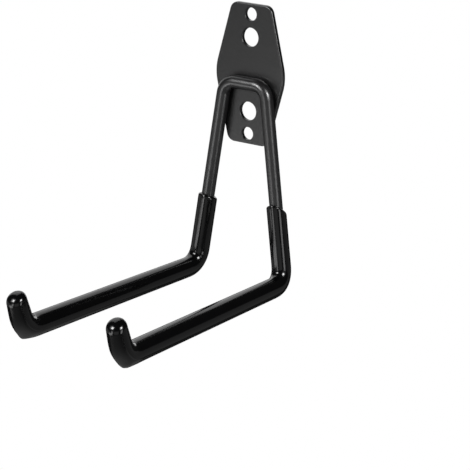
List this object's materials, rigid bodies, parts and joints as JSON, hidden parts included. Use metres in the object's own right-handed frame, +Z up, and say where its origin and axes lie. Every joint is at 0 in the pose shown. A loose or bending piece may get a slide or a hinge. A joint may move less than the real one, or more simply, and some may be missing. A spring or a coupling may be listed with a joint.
{
  "type": "racket wall holder",
  "caption": "Wall plate with a welded bent-rod double hook; vinyl-dipped parallel arms with upturned tips hold a racket or tools off the wall.",
  "frame": {"origin": "centre of the plate's back face, on the wall", "axes": "+Y into the wall, +Z up, the arms reach out along -Y, mirror plane at X = 0"},
  "size_m": [0.0834, 0.1775, 0.1727],
  "materials": {
    "plate_coat": "satin black powder coat on stamped steel",
    "rod_coat": "satin black powder coat on steel rod",
    "sleeve_vinyl": "glossy black dipped soft vinyl"
  },
  "bodies": {
    "root": {"back_plate": "plate_coat", "hook_rod": "rod_coat", "left_sleeve": "sleeve_vinyl", "right_sleeve": "sleeve_vinyl"}
  },
  "joints": []
}
